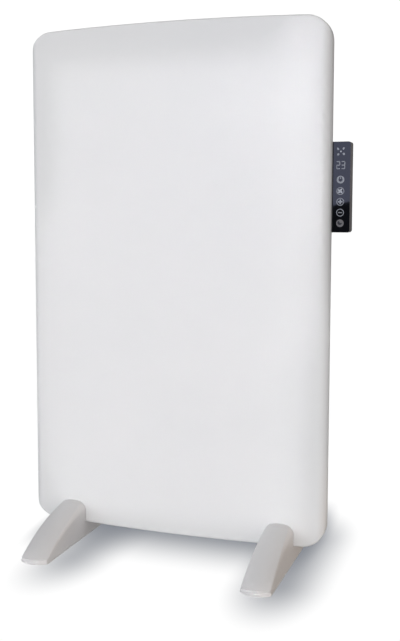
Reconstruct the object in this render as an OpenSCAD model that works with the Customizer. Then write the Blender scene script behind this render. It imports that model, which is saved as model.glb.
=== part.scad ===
// Free-standing infrared panel heater: a rolled sheet front over a carbon
// heating film, a screwed back cover, a touch control box and two moulded feet.
// The middle of the panel's depth is at y = 0 and the floor is at z = 0.

/* [Panel] */
// Width of the panel
panel_w = 548.5; // [500:0.5:620]
// Height of the panel
panel_h = 900; // [850:1:1000]
// Depth of the panel, front face to back face
panel_d = 22; // [21:0.5:26]
// Height of the panel's lowest edge above the floor
panel_lift = 24; // [23:0.5:32]
// Radius of the panel's four corners
corner_r = 43; // [30:1:60]
// Radius of the rolled left and right edges
side_roll = 15; // [11:0.5:16]
// Radius of the bend along the arched top and bottom edges
end_bend = 3; // [2:0.5:5]
// Rise of the gently arched top and bottom edges
edge_bow = 7; // [3:0.5:8]
// Thickness of the front sheet
sheet_t = 1.2; // [0.8:0.1:1.5]

/* [Heating stack] */
// Distance from the panel's outline to the heating film
film_margin = 26; // [22:1:36]
// Thickness of each insulating laminate
laminate_t = 0.6; // [0.4:0.1:0.8]
// Thickness of the carbon film
film_t = 0.4; // [0.3:0.1:0.6]
// Thickness of the reflector foil
foil_t = 0.2; // [0.1:0.05:0.3]
// Thickness of the insulation board
board_t = 9; // [7:0.5:9.5]
// Number of carbon bands
band_count = 10; // [6:1:14]
// Gap between two carbon bands
band_gap = 4; // [3:0.5:8]
// Width of each copper busbar
busbar_w = 14; // [10:1:20]

/* [Frame] */
// Width of the edge rails
rail_w = 16; // [12:1:20]
// Thickness of the rail sheet
rail_t = 1; // [0.8:0.1:1.2]
// Height of a cross rail's raised web
cross_h = 30; // [24:1:40]
// Height of a cross rail's two flanges
cross_flange = 8; // [6:1:12]
// Lower cross rail, centre above the panel's lowest edge
lower_cross = 130; // [110:5:180]
// Upper cross rail, centre below the panel's highest edge
upper_cross = 110; // [90:5:150]
// Distance of each wall nut from the panel's middle
wall_nut_x = 190; // [150:5:200]
// Radius of the hole in a wall nut
wall_nut_r = 2.5; // [2:0.25:3]

/* [Back cover] */
// Thickness of the back cover
cover_t = 1; // [0.8:0.1:1.2]
// Gap between the cover and the front sheet's edge
cover_gap = 0.4; // [0.3:0.1:1]
// Height of the pressed stiffening beads
bead_rise = 2; // [1:0.25:3]
// Distance between the beads
bead_pitch = 120; // [80:5:130]
// Screws down each side of the cover
side_screws = 6; // [4:1:8]
// Screws along the top and the bottom of the cover
end_screws = 4; // [3:1:5]

/* [Control box] */
// How far the control box stands out past the panel's side
control_out = 29.8; // [26:0.1:40]
// Width of the control box
control_w = 112; // [108:1:120]
// Height of the control box
control_h = 149.1; // [146:0.1:160]
// Depth of the control box
control_d = 22; // [21:0.5:26]
// Lower end of the control box above the panel's lowest edge
control_base = 541; // [480:0.5:560]
// Wall of the control box
control_wall = 2; // [1.6:0.1:2.4]
// Radius of the control box's corners
control_r = 4; // [3:0.5:6]
// Width of the touch glass
glass_w = 30.9; // [28:0.1:31.5]
// Thickness of the touch glass
glass_t = 2; // [1.5:0.1:2.5]
// Height of the lowest key above the control box's lower end
key_first = 14.9; // [13:0.1:17]
// Distance of the indicator lamps below the control box's upper end
lamp_down = 16.1; // [14:0.1:18]
// Extra gap between the four lower keys and the power key
power_gap = 1.2; // [0:0.1:2]
// Extra gap between the power key and the digits
digit_gap = 5.7; // [4:0.1:7]
// Extra gap between the digits and the indicator lamps
lamp_gap = 4.1; // [2:0.1:6]
// Width of the power board
board_wide = 64; // [60:1:66]
// Gap between the power board and the left side of the control box
board_in = 6; // [4:0.5:8]
// Distance of the power board above the control box's lower end
board_up = 50; // [46:1:54]
// Distance of the power board below the control box's upper end
board_down = 12; // [10:1:16]
// Radius of the hole for the mains cord
cord_r = 3.6; // [3:0.1:4]

/* [Power switch] */
// Width of the switch's body
switch_w = 13; // [12:0.5:15]
// Height of the switch's body
switch_h = 19; // [18:0.5:22]
// Tilt of the rocker to each side of its middle
rocker_tilt = 10; // [6:1:12]
// Radius of the rocker's pivot pins
pivot_r = 1.2; // [1:0.1:1.5]

/* [Feet] */
// Distance of each foot from the panel's middle
foot_x = 195.5; // [170:0.5:200]
// Width of a foot
foot_w = 49.5; // [44:0.5:60]
// Reach of a foot in front of the panel and behind it
foot_reach = 161.5; // [130:0.5:190]
// Height of a foot where it meets the panel
foot_top = 67; // [60:1:76]
// Height of a foot at its tip
tip_h = 9; // [7:0.5:12]
// Bulge of the curve along a foot's top
lobe_sag = 9; // [5:0.5:14]
// Bulge of the curve across a foot's top
foot_crown = 6; // [4:0.5:9]
// Bulge of a foot's tip, seen from above
tip_bulge = 11; // [7:0.5:14]
// Radius of a foot's edges
foot_edge_r = 4; // [3.4:0.1:6]
// Radius of a foot's shoulders beside the panel, which fades towards the tip
shoulder_r = 17; // [12:0.5:20]
// Wall of a foot
foot_wall = 2.6; // [2.2:0.1:3]
// Thickness of the floor of the slot that holds the panel
bridge_t = 4; // [3:0.5:5]
// Radius of a rubber pad
pad_r = 6; // [5:0.5:7]
// How far the pads stand out below a foot
pad_proud = 1; // [0.6:0.1:1.5]

/* [Clearances] */
// Gap around the panel in a foot's slot
slot_gap = 0.2; // [0.1:0.05:0.4]
// Gap between fitted pieces
fit_gap = 0.15; // [0.1:0.05:0.3]
// Gap around a running pin
run_gap = 0.05; // [0.03:0.01:0.08]

/* [Hidden] */
big_fn = 720;
mid_fn = 96;
small_fn = 32;
over = 1;

// Levels through the depth of the panel
front_y = -panel_d / 2;
back_y = panel_d / 2;
laminate_y = front_y + sheet_t;
film_y = laminate_y + laminate_t;
rear_laminate_y = film_y + film_t;
foil_y = rear_laminate_y + laminate_t;
board_y = foil_y + foil_t;
rail_y = board_y + board_t;
cover_y = back_y - cover_t;
rail_d = cover_y - rail_y;
wire_y = rail_y + rail_d / 2;

// Places on the panel
panel_mid_z = panel_lift + panel_h / 2;
bow_r = (pow(panel_w / 2, 2) + pow(edge_bow, 2)) / (2 * edge_bow);
outline_clear = 0.05;
film_w = panel_w - 2 * film_margin;
film_h = panel_h - 2 * film_margin;
roll_rise = max(0, front_y + side_roll - rail_y);
roll_reach = sqrt(pow(side_roll - sheet_t, 2) - pow(roll_rise, 2));
rail_x = panel_w / 2 - side_roll + roll_reach - fit_gap - rail_w;
rail_end = corner_r + 6;
end_rail_l = 2 * (rail_x - 30);
end_drop = edge_bow * pow((end_rail_l / 2) / (panel_w / 2), 2);
end_rail_z = sheet_t + end_drop + cover_gap;
lead_lane = rail_x - 22;
cross_l = 2 * (lead_lane - 13);
cross_full = cross_h + 2 * cross_flange;

// Places on the control box
control_x = panel_w / 2 + control_out - control_w / 2;
control_z = panel_lift + control_base;
control_mid_z = control_z + control_h / 2;
control_right = panel_w / 2 + control_out;
control_left = control_right - control_w;
control_back = back_y + control_d;
split_y = back_y + 8;
glass_rim = 0.6;
glass_x = control_right - glass_rim - glass_w / 2;
glass_y = back_y + 0.3;
glass_seat = glass_y + glass_t;
glass_wall_y = glass_seat + control_wall;
touch_board_y = glass_wall_y + 4.2;
pcb_t = 1.6;
power_board_y = back_y + 7;
parts_y = power_board_y + pcb_t;
board_base = control_z + board_up;
board_high = control_h - board_up - board_down;
board_left = control_left + board_in;
lamp_up = control_h - lamp_down;
key_pitch = (lamp_up - key_first - power_gap - digit_gap - lamp_gap) / 6;
key_ups = [for (i = [0 : 3]) key_first + i * key_pitch];
power_up = key_first + 4 * key_pitch + power_gap;
digit_up = power_up + key_pitch + digit_gap;
all_keys = concat(key_ups, [power_up]);
key_window_r = 6.4;
digit_w = 17;
digit_h = 14;
lamp_spread = 4.6;
lamp_places = [[0, 0], [-1, -1], [1, -1], [-1, 1], [1, 1]];
control_bosses = [[control_left + 7, control_z + 7],
                  [control_left + 7, control_z + control_h - 7],
                  [glass_x - glass_w / 2 - 6, control_z + 7],
                  [glass_x - glass_w / 2 - 6, control_z + control_h - 7]];
boss_top = split_y + 3;
box_screw_places = [
  for (s = [-1, 1]) for (p = [[control_left + 16, 9], [rail_x + rail_w / 2, 45]])
    [p[0], control_mid_z + s * p[1]]
];
board_posts = [
  for (x = [board_left + 4, board_left + board_wide - 4])
    for (z = [board_base + 4, board_base + board_high - 4])
      [x, z]
];

// Places for the leads
grommet_x = lead_lane + 2;
grommet_z = control_z + 62;
grommet_r = 8;
grommet_bore = 6.2;
lead_r = 1.2;
lead_gap = 0.3;
lead_stop = power_board_y - lead_gap;
lead_drop = wire_y + lead_r;
tab_in = 34;
tab_x = film_w / 2 - tab_in;
tab_r = 8;
tab_end = foil_y + 4;
film_top = panel_lift + panel_h - film_margin;
film_base = panel_lift + film_margin;
cutout_x = 110;
upper_cutout_z = control_z + 20;
lower_cutout_z = upper_cutout_z - 230;
cutout_r = 8;
cutout_pocket = 12;
blade_x = 4.6;
blade_t = 0.8;
blade_meet = blade_x + blade_t / 2 + lead_gap;
blade_end = rail_y + 7.4;
clip_w = 5;
clip_l = 44;
clip_t = 0.8;
earth_x = cross_l / 2 - 10;
stud_r = 2;
stud_nut_y = rail_y + 2.6;
stud_nut_t = 2;
earth_y = stud_nut_y + stud_nut_t + lead_r + lead_gap;
earth_z = control_mid_z;

// Places on the switch and the cord hole
switch_x = control_left + 24;
switch_z = control_z + 24;
frame_wall = 1;
pivot_y = control_back - 1.6;
gland_x = control_left + 56;
gland_y = back_y + 12;
gland_r = cord_r + 2.4;
gland_rim = 1.8;
gland_rim_t = 1.5;

// Places on the feet
lobe_chord = sqrt(pow(foot_reach, 2) + pow(foot_top - tip_h, 2));
lobe_r = (pow(lobe_chord / 2, 2) + pow(lobe_sag, 2)) / (2 * lobe_sag);
lobe_drop = (foot_top - tip_h) / lobe_chord;
lobe_run = foot_reach / lobe_chord;
lobe_axis_s = foot_reach / 2 - (lobe_r - lobe_sag) * lobe_drop;
lobe_axis_z = (foot_top + tip_h) / 2 - (lobe_r - lobe_sag) * lobe_run;
shoulder_rise = 0.3;
shoulder_out = 0.2;
barrel_out = 0.05;
shoulder_turn = atan(0.5 * (shoulder_r - foot_edge_r) / foot_reach);
crown_r = (pow(foot_w / 2, 2) + pow(foot_crown, 2)) / (2 * foot_crown);
tip_r = (pow(foot_w / 2, 2) + pow(tip_bulge, 2)) / (2 * tip_bulge);
foot_len = panel_d + 2 * foot_reach;
slot_half = panel_d / 2 + slot_gap;
bridge_z = panel_lift - bridge_t;
foot_screw_dx = 12;
foot_screw_y = wire_y;
foot_screw_r = 2.4;
foot_head_r = 4.6;
foot_boss_r = 7;
foot_seat_z = 9;
foot_plate_t = 4;
foot_plate_z = panel_lift + end_rail_z + rail_t;
pad_t = 3;
pad_places = [foot_len / 2 - 18, foot_len / 2 - 118];
lip_h = 2.4;
lip_out = 0.7;
rib_t = 2;
rib_pitch = 34;

// Basic shapes

// The middle of the panel is set off so that the whole heater is centred
module placed() {
  translate([-control_out / 2, 0, 0])
    children();
}

// A flat shape in width and height, given a depth from y0 to y1
module upright(y0, y1) {
  translate([0, y1, 0])
    rotate([90, 0, 0])
      linear_extrude(height = y1 - y0)
        children();
}

// A box from one corner to the other
module block(low, high) {
  translate(low)
    cube(high - low);
}

// A rectangle with two arched ends and four corners, rounded unless round_r is 0
module crowned_rect(w, h, arch_r, round_r) {
  round_x = w / 2 - round_r;
  arch_mid = h / 2 - arch_r;
  round_y = arch_mid + sqrt(pow(arch_r - round_r, 2) - pow(round_x, 2));
  meet_x = round_x * arch_r / (arch_r - round_r);
  for (turn = [0, 180])
    rotate([0, 0, turn])
      intersection() {
        translate([-meet_x, 0])
          square([2 * meet_x, h]);
        translate([0, arch_mid])
          circle(r = arch_r, $fn = big_fn);
      }
  square([w, 2 * round_y], center = true);
  if (round_r > 0)
    for (sx = [-1, 1])
      for (sy = [-1, 1])
        translate([sx * round_x, sy * round_y])
          circle(r = round_r, $fn = mid_fn);
}

// A rectangle with four rounded corners
module rounded_rect(w, h, r) {
  square([w, h - 2 * r], center = true);
  square([w - 2 * r, h], center = true);
  for (sx = [-1, 1])
    for (sy = [-1, 1])
      translate([sx * (w / 2 - r), sy * (h / 2 - r)])
        circle(r = r, $fn = small_fn);
}

// The panel's outline, drawn in by a given amount
module panel_outline(inset) {
  translate([0, panel_mid_z])
    crowned_rect(panel_w - 2 * inset, panel_h - 2 * inset, bow_r - inset, corner_r - inset);
}

// A screw along +Z: its head starts at z = 0 and its shank goes down
module screw(shank_r, shank_l, head_r, head_h) {
  translate([0, 0, -shank_l])
    cylinder(r = shank_r, h = shank_l, $fn = small_fn);
  difference() {
    intersection() {
      cylinder(r = head_r, h = head_h, $fn = small_fn);
      translate([0, 0, head_h - 2 * head_r])
        sphere(r = 2 * head_r, $fn = 64);
    }
    for (a = [0, 90])
      rotate([0, 0, a])
        translate([-head_r * 0.6, -head_r * 0.12, head_h * 0.4])
          cube([head_r * 1.2, head_r * 0.24, head_h]);
  }
}

// A cylinder along Y from y0 to y1
module post(x, z, y0, y1, r, sides = small_fn) {
  translate([x, y1, z])
    rotate([90, 0, 0])
      cylinder(r = r, h = y1 - y0, $fn = sides);
}

// A box of a circuit part on the power board's rear face
module board_part(x, z, w, h, deep, r = 1) {
  upright(parts_y, parts_y + deep)
    translate([board_left + x, board_base + z])
      rounded_rect(w, h, r);
}

// Smooth curve through a list of points, for the leads
function spline_point(p, i, t) =
  let (a = p[max(i - 1, 0)], b = p[i], c = p[i + 1], d = p[min(i + 2, len(p) - 1)])
  0.5 * (2 * b + (c - a) * t + (2 * a - 5 * b + 4 * c - d) * t * t
         + (3 * b - a - 3 * c + d) * t * t * t);

function spline(p, steps) = [
  for (i = [0 : len(p) - 2])
    for (s = [0 : steps - 1])
      spline_point(p, i, s / steps),
  p[len(p) - 1]
];

function unit(v) = v / norm(v);

function heading(p, i) =
  unit(p[min(i + 1, len(p) - 1)] - p[max(i - 1, 0)]);

// A round tube along a path
module tube(path, r, sides) {
  count = len(path);
  rings = [
    for (i = [0 : count - 1])
      let (d = heading(path, i), u = unit(cross(d, [0.62, 0.55, 0.56])), v = cross(d, u))
      for (k = [0 : sides - 1])
        path[i] + r * (cos(360 * k / sides) * u + sin(360 * k / sides) * v)
  ];
  skin = [
    for (i = [0 : count - 2])
      for (k = [0 : sides - 1])
        for (face = [[i * sides + k, i * sides + (k + 1) % sides, (i + 1) * sides + k],
                     [(i + 1) * sides + k, i * sides + (k + 1) % sides,
                      (i + 1) * sides + (k + 1) % sides]])
          face
  ];
  start = [for (k = [0 : sides - 1]) sides - 1 - k];
  finish = [for (k = [0 : sides - 1]) (count - 1) * sides + k];
  polyhedron(points = rings, faces = concat(skin, [start, finish]));
}

module lead(points) {
  tube(spline(points, 4), lead_r, 8);
}

// Front shell

// Plan of the front sheet: rolled front corners and straight sides
module shell_plan(inset, back) {
  r = side_roll - inset;
  x = panel_w / 2 - side_roll;
  y = front_y + side_roll;
  translate([-panel_w / 2 + inset, y])
    square([panel_w - 2 * inset, back - y]);
  translate([-x, front_y + inset])
    square([2 * x, back - front_y - inset]);
  for (s = [-1, 1])
    translate([s * x, y])
      circle(r = r, $fn = mid_fn);
}

// A wide disc whose front rim is bent: it shapes the top end of the sheet
module bent_end(inset, back) {
  r = bow_r - inset;
  bend = end_bend - inset;
  translate([0, 0, panel_h / 2 - bow_r])
    rotate([90, 0, 0])
      rotate_extrude($fn = big_fn)
        union() {
          translate([0, -back])
            square([r - bend, back - front_y - inset]);
          translate([0, -back])
            square([r, back - front_y - inset - bend]);
          translate([r - bend, -front_y - inset - bend])
            circle(r = bend, $fn = mid_fn);
        }
}

// The outline stands a hair outside the other shapes, so that it cuts only the four corners
module shell_form(inset, back) {
  intersection() {
    upright(front_y - over, back + over)
      panel_outline(inset - outline_clear);
    translate([0, 0, panel_mid_z])
      bent_end(inset, back);
    translate([0, 0, panel_mid_z])
      mirror([0, 0, 1])
        bent_end(inset, back);
    translate([0, 0, panel_lift - over])
      linear_extrude(height = panel_h + 2 * over)
        shell_plan(inset, back);
  }
}

module front_shell() {
  color("white")
    placed()
      difference() {
        shell_form(0, back_y);
        shell_form(sheet_t, back_y + over);
        foot_screw_holes(foot_screw_r + fit_gap);
      }
}

// Heating stack

module film_sheet(y, t, inset = 0) {
  upright(y, y + t)
    translate([0, panel_mid_z])
      rounded_rect(film_w - 2 * inset, film_h - 2 * inset, 6);
}

// Openings for the lead tabs and the thermal cutouts
module stack_openings(y0, y1) {
  for (z = [film_base + busbar_w / 2, film_top - busbar_w / 2])
    post(tab_x, z, y0, y1, tab_r);
  for (z = [lower_cutout_z, upper_cutout_z])
    post(cutout_x, z, y0, y1, cutout_pocket);
}

module front_laminate() {
  color("khaki")
    placed()
      film_sheet(laminate_y, laminate_t);
}

module heating_film() {
  pitch = (film_w - 16) / band_count;
  slit_h = film_h - 2 * busbar_w - 16;
  color("dimgray")
    placed()
      difference() {
        film_sheet(film_y, film_t, 4);
        for (i = [1 : band_count - 1])
          translate([-film_w / 2 + 8 + i * pitch - band_gap / 2, film_y - over,
                     panel_mid_z - slit_h / 2])
            cube([band_gap, film_t + 2 * over, slit_h]);
        for (z = busbar_rows())
          busbar(z, fit_gap);
      }
}

function busbar_rows() = [film_base + busbar_w / 2, film_top - busbar_w / 2];

module busbar(z, grow) {
  block([-film_w / 2 + 12 - grow, film_y - (grow > 0 ? over : 0), z - busbar_w / 2 + 4 - grow],
        [film_w / 2 - 12 + grow, film_y + film_t + (grow > 0 ? over : 0),
         z + busbar_w / 2 - 4 + grow]);
}

// Two copper strips let into the film, each with a raised lead tab
module copper_busbars() {
  color("peru")
    placed()
      for (z = busbar_rows()) {
        busbar(z, 0);
        post(tab_x, z, film_y + film_t, tab_end, 2.5);
      }
}

module rear_laminate() {
  color("khaki")
    placed()
      difference() {
        film_sheet(rear_laminate_y, laminate_t);
        for (z = busbar_rows())
          post(tab_x, z, rear_laminate_y - over, rear_laminate_y + laminate_t + over, 3);
      }
}

module reflector_foil() {
  color("silver")
    placed()
      difference() {
        film_sheet(foil_y, foil_t);
        stack_openings(foil_y - over, foil_y + foil_t + over);
      }
}

module insulation_board() {
  color("ivory")
    placed()
      difference() {
        film_sheet(board_y, board_t);
        stack_openings(board_y - over, board_y + board_t + over);
      }
}

// Frame

// Section of an edge rail, open on its left
module rail_section() {
  difference() {
    square([rail_w, rail_d]);
    translate([-over, rail_t])
      square([rail_w - rail_t + over, rail_d - 2 * rail_t]);
  }
}

module side_rail(side) {
  length = panel_h - 2 * rail_end;
  mirror([side < 0 ? 1 : 0, 0, 0])
    difference() {
      translate([rail_x, rail_y, panel_lift + rail_end])
        linear_extrude(height = length)
          rail_section();
      for (z = side_screw_rows())
        if (side < 0 || !under_box(z))
          post(rail_x + rail_w / 2, z, cover_y - rail_t - over, cover_y + over, 1.6);
    }
}

module left_rail() {
  color("lightsteelblue")
    placed()
      side_rail(-1);
}

module right_rail() {
  color("lightsteelblue")
    placed()
      difference() {
        side_rail(1);
        box_screw_holes(1.6);
      }
}

// A rail along the bottom edge, open upwards
module end_rail() {
  translate([end_rail_l / 2, 0, panel_lift + end_rail_z])
    rotate([0, -90, 0])
      linear_extrude(height = end_rail_l)
        translate([0, rail_y])
          mirror([1, 0])
            translate([-rail_w, 0])
              rail_section();
}

module top_rail() {
  color("lightsteelblue")
    placed()
      difference() {
        translate([0, 0, 2 * panel_mid_z])
          mirror([0, 0, 1])
            end_rail();
        for (x = end_screw_places())
          post(x, end_screw_z(1), cover_y - rail_t - over, cover_y + over, 1.6);
      }
}

module bottom_rail() {
  color("lightsteelblue")
    placed()
      difference() {
        end_rail();
        for (x = end_screw_places())
          post(x, end_screw_z(-1), cover_y - rail_t - over, cover_y + over, 1.6);
        foot_screw_holes(foot_screw_r + fit_gap);
      }
}

// A hat section across the panel between the insulation and the back cover
module cross_rail(z) {
  half = cross_h / 2;
  difference() {
    translate([-cross_l / 2, 0, z])
      rotate([90, 0, 90])
        linear_extrude(height = cross_l)
          difference() {
            union() {
              translate([rail_y, -half])
                square([rail_d, cross_h]);
              translate([rail_y, -half - cross_flange])
                square([rail_t, cross_full]);
            }
            translate([rail_y - over, -half + rail_t])
              square([rail_d - rail_t + over, cross_h - 2 * rail_t]);
          }
    children();
  }
}

function wall_nut_places() = [
  for (sx = [-1, 1]) for (up = [lower_cross, panel_h - upper_cross])
    [sx * wall_nut_x, panel_lift + up]
];

module wall_nut_holes(r) {
  for (p = wall_nut_places())
    post(p[0], p[1], cover_y - rail_t - over, back_y + over, r);
}

module box_screw_holes(r) {
  for (p = box_screw_places)
    post(p[0], p[1], cover_y - rail_t - over, back_y + control_wall + over, r);
}

module lower_cross_rail() {
  color("lightsteelblue")
    placed()
      cross_rail(panel_lift + lower_cross)
        wall_nut_holes(wall_nut_r + 1.2);
}

module middle_cross_rail() {
  color("lightsteelblue")
    placed()
      cross_rail(control_mid_z) {
        box_screw_holes(1.6);
        post(earth_x, earth_z, cover_y - rail_t - over, cover_y + over, stud_r + fit_gap);
      }
}

module upper_cross_rail() {
  color("lightsteelblue")
    placed()
      cross_rail(panel_lift + panel_h - upper_cross)
        wall_nut_holes(wall_nut_r + 1.2);
}

// Back cover

function under_box(z) = z > control_z - 8 && z < control_z + control_h + 8;

function side_screw_rows() = [
  for (i = [0 : side_screws - 1])
    panel_lift + rail_end + 14 + i * (panel_h - 2 * rail_end - 28) / (side_screws - 1)
];

function end_screw_places() = [
  for (i = [0 : end_screws - 1])
    (i / (end_screws - 1) - 0.5) * 2 * (foot_x - foot_w / 2 - 18)
];

function end_screw_z(side) = panel_mid_z + side * (panel_h / 2 - end_rail_z - rail_w / 2);

function cover_screw_places() = concat(
  [for (z = side_screw_rows()) [-rail_x - rail_w / 2, z]],
  [for (z = side_screw_rows()) if (!under_box(z)) [rail_x + rail_w / 2, z]],
  [for (x = end_screw_places()) for (s = [-1, 1]) [x, end_screw_z(s)]]
);

// A long pressed bead with round ends
module bead(x, r) {
  mid_y = back_y + bead_rise - 20;
  base = panel_lift + lower_cross + 60;
  top = panel_lift + panel_h - upper_cross - 60;
  intersection() {
    union() {
      translate([x, mid_y, base])
        cylinder(r = r, h = top - base, $fn = mid_fn);
      for (z = [base, top])
        translate([x, mid_y, z])
          sphere(r = r, $fn = mid_fn);
    }
    block([x - 40, cover_y - (r < 20 ? over : 0), base - 40], [x + 40, back_y + 40, top + 40]);
  }
}

module back_cover() {
  color("whitesmoke")
    placed()
      difference() {
        union() {
          upright(cover_y, back_y)
            panel_outline(sheet_t + cover_gap);
          for (i = [-1 : 1])
            bead(i * bead_pitch, 20);
        }
        for (i = [-1 : 1])
          bead(i * bead_pitch, 20 - cover_t);
        for (p = cover_screw_places())
          post(p[0], p[1], cover_y - over, back_y + over, 1.6);
        wall_nut_holes(wall_nut_r + 1.2);
        box_screw_holes(1.6);
        post(grommet_x, grommet_z, cover_y - over, back_y + over, grommet_r);
      }
}

module cover_screws() {
  color("gainsboro")
    placed()
      for (p = cover_screw_places())
        translate([p[0], back_y, p[1]])
          rotate([-90, 0, 0])
            screw(1.5, cover_t + rail_t + 3, 3, 1.8);
}

// Flanged nuts through the cover and the cross rails, for hanging
module wall_nuts() {
  color("silver")
    placed()
      for (p = wall_nut_places())
        difference() {
          union() {
            post(p[0], p[1], back_y, back_y + 1, wall_nut_r + 2.6);
            post(p[0], p[1], rail_y + 1, back_y, wall_nut_r + 1.2 - fit_gap);
          }
          post(p[0], p[1], rail_y - over, back_y + 1 + over, wall_nut_r);
        }
}

// Cutouts, leads and earth

// A round thermal cutout with two blades
module cutout(z) {
  post(cutout_x, z, foil_y, foil_y + 1.2, cutout_r + 2.4);
  post(cutout_x, z, foil_y + 1.2, rail_y, cutout_r);
  for (s = [-1, 1])
    block([cutout_x + s * blade_x - blade_t / 2, rail_y, z - 3],
          [cutout_x + s * blade_x + blade_t / 2, blade_end, z + 3]);
}

module upper_cutout() {
  color("saddlebrown")
    placed()
      cutout(upper_cutout_z);
}

module lower_cutout() {
  color("saddlebrown")
    placed()
      cutout(lower_cutout_z);
}

// A spring strap that holds each cutout down
module cutout_clips() {
  color("silver")
    placed()
      for (z = [lower_cutout_z, upper_cutout_z])
        block([cutout_x - clip_w / 2, rail_y, z - clip_l / 2],
              [cutout_x + clip_w / 2, rail_y + clip_t, z + clip_l / 2]);
}

// The lane at the right of the panel that the leads run in
lane_l = grommet_x - 3;
lane_r = grommet_x + 3;

module live_lead() {
  z = upper_cutout_z;
  color("brown")
    placed()
      lead([[lane_l, lead_stop, grommet_z - 2.6], [lane_l, cover_y, grommet_z - 2.6],
            [lane_l, lead_drop, grommet_z - 4.5], [lane_l - 1, wire_y, grommet_z - 16],
            [lane_l - 14, wire_y, z + 4], [cutout_x + 60, wire_y, z],
            [cutout_x + blade_meet, wire_y, z]]);
}

module link_lead() {
  x = cutout_x - blade_meet;
  color("brown")
    placed()
      lead([[x, wire_y, upper_cutout_z], [x - 12, wire_y, upper_cutout_z - 14],
            [x - 16, wire_y, upper_cutout_z - 60], [x - 16, wire_y, lower_cutout_z + 60],
            [x - 12, wire_y, lower_cutout_z + 14], [x, wire_y, lower_cutout_z]]);
}

module return_lead() {
  x = cutout_x + blade_meet;
  tab_z = film_base + busbar_w / 2;
  color("brown")
    placed()
      lead([[x, wire_y, lower_cutout_z], [x + 40, wire_y, lower_cutout_z - 6],
            [lane_l - 24, wire_y, lower_cutout_z - 20], [lane_l, wire_y, lower_cutout_z - 70],
            [lane_l, wire_y, tab_z + 120], [lane_l, wire_y, tab_z + 50],
            [lane_l - 6, wire_y, tab_z + 14], [tab_x + 8, wire_y, tab_z + 3],
            [tab_x, board_y + 6, tab_z], [tab_x, tab_end + lead_gap, tab_z]]);
}

module neutral_lead() {
  tab_z = film_top - busbar_w / 2;
  color("royalblue")
    placed()
      lead([[lane_r, lead_stop, grommet_z + 2.6], [lane_r, cover_y, grommet_z + 2.6],
            [lane_r, lead_drop, grommet_z + 4.5], [lane_r + 1, wire_y, grommet_z + 16],
            [lane_r + 1, wire_y, grommet_z + 80],
            [lane_r + 1, wire_y, tab_z - 80], [lane_r - 4, wire_y, tab_z - 20],
            [tab_x + 10, wire_y, tab_z - 3], [tab_x, board_y + 6, tab_z],
            [tab_x, tab_end + lead_gap, tab_z]]);
}

module earth_lead() {
  color("yellowgreen")
    placed()
      lead([[lane_l, lead_stop, grommet_z + 2.6], [lane_l, cover_y, grommet_z + 2.6],
            [lane_l, lead_drop, grommet_z + 4.5], [lane_l - 3, earth_y, earth_z - 3],
            [cross_l / 2 - 1, earth_y, earth_z], [earth_x + stud_r + lead_gap, earth_y, earth_z]]);
}

// The earth stud through the middle cross rail, with its nut
module earth_stud() {
  color("gold")
    placed() {
      post(earth_x, earth_z, stud_nut_y - 0.6, cover_y, stud_r);
      difference() {
        post(earth_x, earth_z, stud_nut_y, stud_nut_y + stud_nut_t, 2 * stud_r, 6);
        post(earth_x, earth_z, rail_y, cover_y, stud_r - 0.1);
      }
    }
}

// A rubber ring in the lead hole between the panel and the control box
module lead_grommet() {
  hole_back = back_y + control_wall;
  color("black")
    placed()
      difference() {
        union() {
          post(grommet_x, grommet_z, cover_y - 1.2, cover_y, grommet_r + 2);
          post(grommet_x, grommet_z, cover_y, hole_back, grommet_r - fit_gap);
          post(grommet_x, grommet_z, hole_back, hole_back + 1.2, grommet_r + 2);
        }
        post(grommet_x, grommet_z, cover_y - 2 * over, hole_back + 2 * over, grommet_bore);
      }
}

// Control box

module control_outline(inset) {
  translate([control_x, control_mid_z])
    rounded_rect(control_w - 2 * inset, control_h - 2 * inset, control_r - inset);
}

module glass_outline(grow) {
  left = glass_x - glass_w / 2 - grow;
  intersection() {
    control_outline(glass_rim - grow);
    translate([left, control_z - over])
      square([control_right + over - left, control_h + 2 * over]);
  }
}

module control_front() {
  color("dimgray")
    placed()
      difference() {
        union() {
          difference() {
            upright(back_y, split_y)
              control_outline(0);
            difference() {
              upright(back_y + control_wall, split_y + over)
                control_outline(control_wall);
              upright(back_y, glass_wall_y)
                glass_outline(control_wall);
            }
          }
          for (p = control_bosses)
            post(p[0], p[1], back_y + over, boss_top, 3.4);
          for (p = board_posts)
            post(p[0], p[1], back_y + over, power_board_y, 2.5);
        }
        upright(back_y - over, glass_seat)
          glass_outline(fit_gap);
        for (p = control_bosses)
          post(p[0], p[1], back_y + control_wall, boss_top + over, 1.3);
        for (up = all_keys)
          post(glass_x, control_z + up, glass_seat - over, glass_wall_y + over, key_window_r);
        block([glass_x - digit_w / 2 - fit_gap, glass_seat - over, control_z + digit_up - digit_h / 2 - fit_gap],
              [glass_x + digit_w / 2 + fit_gap, glass_wall_y + over,
               control_z + digit_up + digit_h / 2 + fit_gap]);
        for (p = lamp_places)
          post(glass_x + p[0] * lamp_spread, control_z + lamp_up + p[1] * lamp_spread,
               glass_seat - over, glass_wall_y + over, 1.6);
        post(grommet_x, grommet_z, back_y - over, back_y + control_wall + over, grommet_r);
        box_screw_holes(1.6);
        gland_hole();
      }
}

// Slots that let room air reach the sensor
module vent_slots() {
  for (i = [0 : 5])
    upright(control_back - control_wall - over, control_back + over)
      translate([control_left + 30 + 7 * i, control_z + control_h - 30])
        rounded_rect(2.4, 26, 1.1);
}

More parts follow.
